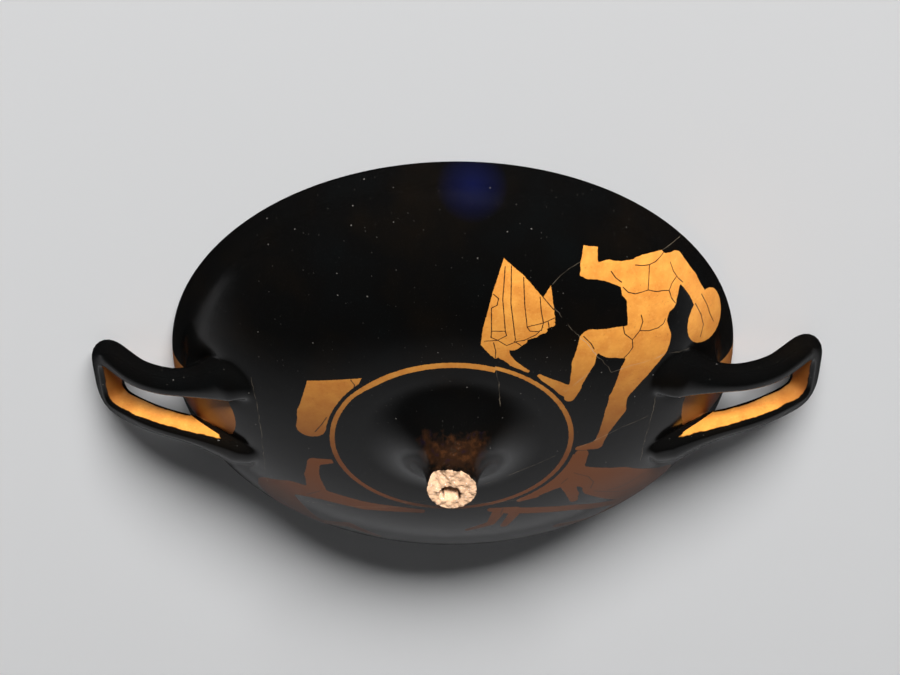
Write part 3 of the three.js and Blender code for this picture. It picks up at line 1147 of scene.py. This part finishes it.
# %% Gloss and clay
BLACK = (0.0022, 0.0021, 0.0020)
BLACK_BROWN = (0.0044, 0.0031, 0.0020)
BLACK_GREEN = (0.0024, 0.0030, 0.0032)
ORANGE = (0.69, 0.295, 0.052)
ORANGE_DEEP = (0.56, 0.205, 0.034)
ORANGE_PALE = (0.79, 0.41, 0.11)
BROWN_CLAY = (0.16, 0.050, 0.014)
LINE_BROWN = (0.035, 0.014, 0.007)
# A painted reflection: a faint blue spot on the near gloss by the rim, where a pale light would be
# mirrored.
BLUE_REFLECTION_MIDDLE = Vector((9, 124, 0))
BLUE_REFLECTION_RADIUS = 15.0
PAINTED_BLUE_REFLECTION = (0.003, 0.004, 0.022)
CRACK_PALE = (0.42, 0.34, 0.24)
PIT_PALE = (0.30, 0.28, 0.25)
GLOSS_ROUGH = 0.19
CLAY_ROUGH = 0.42
ROUGH_CHANGE = 0.10
TONE_BY_HEIGHT = (0.0145, 0.20)
CRACK_HALF_WIDTH = 0.12
# Painted shade on the loops' outer ends: from 128 mm out, the bare clay darkens by 0.055 of its tone per
# millimetre.
HANDLE_SHADE_FROM, HANDLE_SHADE = 128, 0.055
SPECK_STRENGTH = 0.35
SWELL_HEIGHT = 0.035
CLAY_GRAIN, GLOSS_GRAIN = 0.010, 0.0016


def clay_colour(graph, spot, tone):
    """Mottled orange clay; tone 1 is bright, 0 is dark brown."""
    cloud = graph.noise(spot, 0.16, 3.0)
    fine = graph.noise(spot, 0.9, 4.0, 0.7)
    mottled = graph.mix(cloud.math("MULTIPLY_ADD", 2.6, -0.85, clamp=True), ORANGE_DEEP, ORANGE)
    mottled = graph.mix(fine.math("MULTIPLY_ADD", 2.4, -1.3, clamp=True), mottled, ORANGE_PALE)
    dark = fine.below(0.36, 0.07) * 0.35
    mottled = graph.mix(dark, mottled, BROWN_CLAY)
    return graph.mix(tone, BROWN_CLAY, mottled)


def gloss_colour(graph, spot):
    """Nearly black slip, clouded with brown and green."""
    cloud = graph.noise(spot, 0.035, 3.0)
    brown = cloud.math("MULTIPLY_ADD", 3.0, -1.5, clamp=True)
    green = cloud.math("MULTIPLY_ADD", -3.0, 1.4, clamp=True)
    return graph.mix(green, graph.mix(brown, BLACK, BLACK_BROWN), BLACK_GREEN)


def pits(graph, spot, scale, size, share):
    """Tiny round pits in some of a grid of random cells."""
    settings = {"voronoi_dimensions": "3D", "feature": "F1"}
    inputs = {"Vector": spot, "Scale": scale}
    distance = graph.node("ShaderNodeTexVoronoi", settings, inputs, 0)
    colour = Wire(graph, distance.socket.node.outputs["Color"])
    pick = graph.node("ShaderNodeSeparateColor", {}, [colour], 0)
    return distance.below(size * scale, size * scale * 0.8) * pick.below(share, 0.02)


def new_surface(name):
    """A graph with its places: the object's millimetres and the flat map."""
    graph = Graph(bpy.data.materials.new(name))
    place = graph.node("ShaderNodeTexCoord", {}, [], "Object")
    spot = place.vector("MULTIPLY", Vector((1000, 1000, 1000)))
    paint = graph.node("ShaderNodeUVMap", {"uv_map": "paint"}, [])
    return graph, spot, paint


def attribute(graph, name):
    """A value stored on the vertices."""
    return graph.node("ShaderNodeAttribute", {"attribute_name": name}, [], 2)


def finish_surface(graph, spot, clay, clay_tone, extras):
    """Mixes gloss and clay by the clay mask, lays extras on, and feeds the shader."""
    black = gloss_colour(graph, spot)
    small = pits(graph, spot, 0.5, 0.15, 0.3) * 0.5
    speck = pits(graph, spot, 0.19, 0.27, 0.4).math("MAXIMUM", small)
    black = graph.mix(speck * SPECK_STRENGTH, black, PIT_PALE)
    colour = graph.mix(clay, black, clay_colour(graph, spot, clay_tone))
    rough = clay.math("MULTIPLY_ADD", CLAY_ROUGH - GLOSS_ROUGH, GLOSS_ROUGH)
    change = graph.noise(spot, 0.09, 3.0)
    rough = change.math("MULTIPLY_ADD", ROUGH_CHANGE, -ROUGH_CHANGE / 2) + rough
    for mask, tint, tint_rough in extras:
        colour = graph.mix(mask, colour, tint)
        if tint_rough is not None:
            rough = rough + mask * (tint_rough - rough)
    swell = graph.noise(spot, 0.11, 1.0)
    grain = graph.noise(spot, 1.6, 3.0, 0.6)
    height = swell * SWELL_HEIGHT + grain * (clay * CLAY_GRAIN + GLOSS_GRAIN)
    bump = graph.node("ShaderNodeBump", {}, {"Strength": 1.0, "Distance": 0.001, "Height": height})
    graph.feed(graph.shader.inputs["Base Color"], colour)
    graph.feed(graph.shader.inputs["Roughness"], rough)
    graph.feed(graph.shader.inputs["Normal"], bump)
    return graph.owner


def painted_surface(name, draw, cracks, far):
    """Gloss with the ring, some cracks and, if it is given, a group of figures."""
    graph, spot, paint = new_surface(name)
    shape, lines = draw(paint) if draw else (None, None)
    wobble = graph.noise(spot, 0.75, 2.0) - 0.5
    middle = paint.vector("DISTANCE", RING_MIDDLE, output=1)
    x = graph.node("ShaderNodeSeparateXYZ", {}, [paint])
    y = Wire(graph, x.socket.node.outputs["Y"])
    ring = (middle - RING_RADIUS).math("ABSOLUTE") - RING_HALF_WIDTH
    if not far:
        mended = (MENDED_TOP - y).below(0, 8) * x.below(MENDED_RIGHT, 0.4)
        radius = RING_RADIUS - MENDED_SHIFT * mended
        half_width = RING_HALF_WIDTH + MENDED_WIDENING * mended
        ring = (middle - radius).math("ABSOLUTE") - half_width
    if draw:
        shape = shape.math("MAXIMUM", (RING_RADIUS + RING_HALF_WIDTH + RING_GAP) - middle)
        ring = shape.math("MINIMUM", ring)
    shape = ring.math("MINIMUM", attribute(graph, "bare") * -1.0)
    clay = (shape + wobble * 0.5).below(0, 0.22)
    # The clay darkens lower on the map, towards the stem and past it, where it is dark brown.
    tone = y.math("MULTIPLY_ADD", *TONE_BY_HEIGHT, clamp=True)
    extras = []
    if draw:
        line_width = wobble.math("MULTIPLY_ADD", 0.25, 0.2)
        extras.append(((lines - line_width).below(0, 0.12) * clay, LINE_BROWN, 0.3))
    # On the plain near gloss, a painted blue reflection that fades out from its middle by the rim.
    if draw is None and not far:
        blue_reflection_distance = paint.vector("DISTANCE", BLUE_REFLECTION_MIDDLE, output=1)
        blue_reflection_mask = (1 - clay) * blue_reflection_distance.math("MULTIPLY_ADD", -1 / BLUE_REFLECTION_RADIUS, 1.0, clamp=True)
        extras.append((blue_reflection_mask, PAINTED_BLUE_REFLECTION, None))
    shake = graph.scaled(Vector((1.6, 1.1, 0)), graph.noise(spot, 0.3, 3.0) - 0.5)
    crack = chains(paint.vector("ADD", shake), cracks)
    worn = graph.noise(spot, 0.22, 2.0).math("MULTIPLY_ADD", 3.0, -1.0, clamp=True)
    strength = clay.math("MULTIPLY_ADD", 0.5, 0.25)
    extras.append((crack.below(CRACK_HALF_WIDTH, 0.2) * worn * strength, CRACK_PALE, 0.6))
    return finish_surface(graph, spot, clay, tone, extras)


# %% Handles, inside and stem
INSIDE_RING = 60.0
STEM_PATCH = (-9.0, 9.0, 8.0, 9.0, 4.5, 5.0)
# The pit's painted shadow: a dark crescent inside its near edge, while its far wall, round PIT_LIT, stays
# pale as if lit.
PIT_MIDDLE = Vector((*PIT_CENTRE, 0))
PIT_LIT = Vector((PIT_CENTRE[0], PIT_CENTRE[1] + 2.3, 0))
PAINTED_PIT_SHADOW = (0.045, 0.022, 0.012)
BREAK_DEEP = (0.56, 0.31, 0.17)
BREAK_PALE = (0.78, 0.55, 0.37)
PATCH_BROWN = (0.022, 0.009, 0.004)
PATCH_ORANGE = (0.055, 0.020, 0.007)
PATCH_PURPLE = (0.010, 0.006, 0.020)
SPARKLE = (0.95, 0.93, 0.9)


def handle_surface():
    """Gloss with the bare inner faces of the loops, and painted shade on them towards each loop's outer
    end.
    """
    graph, spot, _ = new_surface("handle_gloss")
    wobble = graph.noise(spot, 0.16, 3.0, 0.6) - 0.5
    clay = (attribute(graph, "bare") + wobble * 1.8 - 0.8).math("MULTIPLY", -1.0).below(0, 0.4)
    # The bare clay darkens towards the loop's outer end: partly painted shade on the crossbar's inner
    # face, which lies in shadow, partly darker clay.
    across = graph.node("ShaderNodeSeparateXYZ", {}, [spot], 0).math("ABSOLUTE")
    bright = 1 + HANDLE_SHADE_FROM * HANDLE_SHADE
    tone = across.math("MULTIPLY_ADD", -HANDLE_SHADE, bright, clamp=True)
    return finish_surface(graph, spot, clay, tone, [])


def inside_surface():
    """Plain gloss with one ring line, about the middle of the inside."""
    graph, spot, paint = new_surface("inside_gloss")
    middle = paint.vector("DISTANCE", Vector((INSIDE_SHIFT, 0, 0)), output=1)
    ring = (middle - INSIDE_RING).math("ABSOLUTE") - RING_HALF_WIDTH
    wobble = graph.noise(spot, 0.75, 2.0) - 0.5
    return finish_surface(graph, spot, (ring + wobble * 0.4).below(0, 0.25), 0.8, [])


def stem_surface():
    """Gloss on the stem, misfired brown near the break, and the broken face with painted shade in its
    pit.
    """
    graph, spot, paint = new_surface("stem_and_break")
    ragged = graph.noise(spot, 0.7, 4.0, 0.65) - 0.5
    broken = (attribute(graph, "broken") + ragged * 2.9).math("MULTIPLY", -1.0).below(0, 0.3)
    grain = graph.noise(spot, 1.3, 4.0, 0.7)
    pale = graph.mix(grain.math("MULTIPLY_ADD", 1.5, -0.3, clamp=True), BREAK_DEEP, BREAK_PALE)
    sparkle = pits(graph, spot, 1.1, 0.16, 0.4)
    pale = graph.mix(sparkle, pale, SPARKLE)
    patch = limb(paint, STEM_PATCH) + (graph.noise(spot, 0.3, 4.0, 0.7) - 0.5) * 16.0
    rust = graph.noise(spot, 0.26, 3.0)
    tint = graph.mix(rust.math("MULTIPLY_ADD", 6.0, -3.1, clamp=True), PATCH_BROWN, PATCH_ORANGE)
    tint = graph.mix(rust.math("MULTIPLY_ADD", -6.0, 2.5, clamp=True), tint, PATCH_PURPLE)
    # Painted shade in the pit: dark within its edge, except towards its far, lit side.
    flat = spot.vector("MULTIPLY", Vector((1, 1, 0)))
    hollow = flat.vector("DISTANCE", PIT_MIDDLE, output=1) + ragged * 1.6
    lit = flat.vector("DISTANCE", PIT_LIT, output=1) + ragged * 1.6
    shade = hollow.below(4.0, 0.6) * (1 - lit.below(2.9, 0.7)) * broken
    extras = [(patch.below(0, 4.0) * 0.65, tint, None), (broken, pale, 0.85), (shade, PAINTED_PIT_SHADOW, 0.9)]
    no_clay = ragged * 0.0
    return finish_surface(graph, spot, no_clay, 0.5, extras)


# %% All surfaces
PAINTED = {
    "plain_gloss": (None, LEFT_CRACKS, False),
    "plain_far_gloss": (None, FAR_CRACKS, True),
    "athlete": (draw_athlete, NEAR_CRACKS, False),
    "cloak": (draw_cloak, NEAR_CRACKS[1:3], False),
    "lost_leg": (draw_lost_leg, LEFT_CRACKS, False),
    "cracked_gloss": (None, NEAR_CRACKS, False),
    "far_figures": (draw_far_figures, FAR_CRACKS, True),
}
OTHERS = {"stem_and_break": stem_surface, "handle_gloss": handle_surface, "inside_gloss": inside_surface}
for name in NAMES:
    material = painted_surface(name, *PAINTED[name]) if name in PAINTED else OTHERS[name]()
    cup_mesh.materials.append(material)
    print(name, "has", len(material.node_tree.nodes), "nodes")

# %% [markdown]
# ## The stage
#
# A pale floor that curves up into a low wall all round, like a paper sweep. A dark room on the
# viewer's side and paler paper beyond the cup give the gloss its deep black and its soft pale
# lower edge, so mirrored rays meet a darker floor, and on the viewer's side an unlit one.

# %% Floor
FLOOR_RADIUS = 1.9
SWEEP_RADIUS = 0.3
SWEEP_HEIGHT = 0.01
FLOOR_STEPS, SWEEP_STEPS, FLOOR_ROUND = 12, 13, 96
FLOOR_COLOUR = (0.80, 0.803, 0.81)
MIRROR_FADE = 10.0
UNLIT_PAPER = (0.012, 0.012, 0.012)
MIRRORED_PAPER = (0.26, 0.26, 0.265)


def make_floor():
    bm = bmesh.new()
    sweep = [(FLOOR_RADIUS + SWEEP_RADIUS * math.sin(a), SWEEP_RADIUS * (1 - math.cos(a)))
             for a in np.linspace(0, math.pi / 2, SWEEP_STEPS)]
    points = [(r, 0.0) for r in np.linspace(0, FLOOR_RADIUS, FLOOR_STEPS)] + sweep[1:]
    points.append((FLOOR_RADIUS + SWEEP_RADIUS, SWEEP_RADIUS + SWEEP_HEIGHT))
    profile = [bm.verts.new((r, 0, z)) for r, z in points]
    edges = [bm.edges.new(pair) for pair in zip(profile, profile[1:])]
    bmesh.ops.spin(bm, geom=profile + edges, cent=(0, 0, 0), axis=(0, 0, 1), dvec=(0, 0, 0),
                   angle=2 * math.pi, steps=FLOOR_ROUND, use_merge=True, use_duplicate=False)
    bmesh.ops.remove_doubles(bm, verts=bm.verts, dist=1e-5)
    bmesh.ops.recalc_face_normals(bm, faces=bm.faces)
    turned_away = [f for f in bm.faces if f.normal.z < 0 or f.calc_center_median().dot(f.normal) > 0.1]
    bmesh.ops.reverse_faces(bm, faces=turned_away)
    mesh = bpy.data.meshes.new("floor")
    bm.to_mesh(mesh)
    bm.free()
    mesh.shade_smooth()
    return mesh


floor_mesh = make_floor()
floor = bpy.data.objects.new("floor", floor_mesh)
bpy.context.scene.collection.objects.link(floor)
paper = Graph(bpy.data.materials.new("paper"))
paper.shader.inputs["Roughness"].default_value = 0.9
paper.shader.inputs["Specular IOR Level"].default_value = 0.2
ground = paper.node("ShaderNodeTexCoord", {}, [], "Object")
away = paper.node("ShaderNodeSeparateXYZ", {}, [ground], "Y")
mirrored = paper.mix(away.math("MULTIPLY", MIRROR_FADE, clamp=True), UNLIT_PAPER, MIRRORED_PAPER)
is_mirrored = paper.node("ShaderNodeLightPath", {}, [], "Is Glossy Ray")
paper.feed(paper.shader.inputs["Base Color"], paper.mix(is_mirrored, FLOOR_COLOUR, mirrored))
floor_mesh.materials.append(paper.owner)
print("floor:", len(floor_mesh.polygons), "faces")

# %% [markdown]
# ## The light
#
# One large soft light stands low on the viewer's side, so the shadow falls away from the
# viewer, and a wide weak one hangs above. Neither is mirrored in the gloss, because a plain
# studio hides its lamps behind paper. The surroundings give a little even light. What the
# gloss sees of them depends on the direction: dark towards the viewer and overhead, and
# paper beyond the cup.

# %% Lamps
LAMPS = {
    "key": {"place": (-0.9, -8.4, 2.95), "width": 6.0, "height": 2.1, "power": 1920.0},
    "overhead": {"place": (0.0, -0.3, 2.2), "width": 2.2, "height": 2.2, "power": 1.1},
}


def make_lamp(name, place, width, height, power):
    data = bpy.data.lights.new(name, "AREA")
    data.shape = "ELLIPSE"
    data.size = width
    data.size_y = height
    data.energy = power
    lamp = bpy.data.objects.new(name, data)
    turn = Vector(place).to_track_quat("Z", "Y").to_matrix().to_4x4()
    lamp.matrix_world = Matrix.Translation(place) @ turn
    lamp.visible_glossy = False
    lamp.visible_camera = False
    bpy.context.scene.collection.objects.link(lamp)
    up = math.degrees(math.atan2(place[2], math.hypot(place[0], place[1])))
    print(f"{name} lamp {up:.0f} degrees up")


for name, lamp in LAMPS.items():
    make_lamp(name, **lamp)

# %% Surroundings
DARK_TO_PALE = (0.12, -0.35)
PALE_FAR = -0.95
ROOM_DARK = 0.010
PAPER_LOW = 0.36
PAPER_HIGH = 0.72
FILL = 0.018
SEEN = 0.62
WORLD_COLOUR = (1.0, 1.0, 1.02, 1)


def make_world():
    """Even light; for mirrored rays, paper on the side away from the viewer."""
    world = bpy.data.worlds.new("world")
    bpy.context.scene.world = world
    graph = Graph(world, "Background")
    direction = graph.node("ShaderNodeTexCoord", {}, [], "Generated")
    facing = direction.vector("DOT_PRODUCT", camera_axes()[2], output=1)
    start, end = DARK_TO_PALE
    paper = facing.math("MULTIPLY_ADD", 1 / (end - start), -start / (end - start), clamp=True)
    paper = paper.math("SMOOTH_MIN", 1.0, 0.4)
    reach = PALE_FAR - end
    beyond = facing.math("MULTIPLY_ADD", 1 / reach, -end / reach, clamp=True)
    mirrored = paper * (beyond * (PAPER_HIGH - PAPER_LOW) + (PAPER_LOW - ROOM_DARK)) + ROOM_DARK
    glossy = graph.node("ShaderNodeLightPath", {}, [], "Is Glossy Ray")
    seen = Wire(graph, glossy.socket.node.outputs["Is Camera Ray"])
    level = glossy * (mirrored - FILL) + FILL
    graph.feed(graph.shader.inputs["Strength"], level + seen * (SEEN - level))
    graph.feed(graph.shader.inputs["Color"], WORLD_COLOUR)
    return len(graph.tree.nodes)


print("surroundings:", make_world(), "nodes")

# %% Picture settings
scene = bpy.context.scene
scene.view_settings.view_transform = "Standard"
scene.view_settings.look = "None"
scene.cycles.use_denoising = True
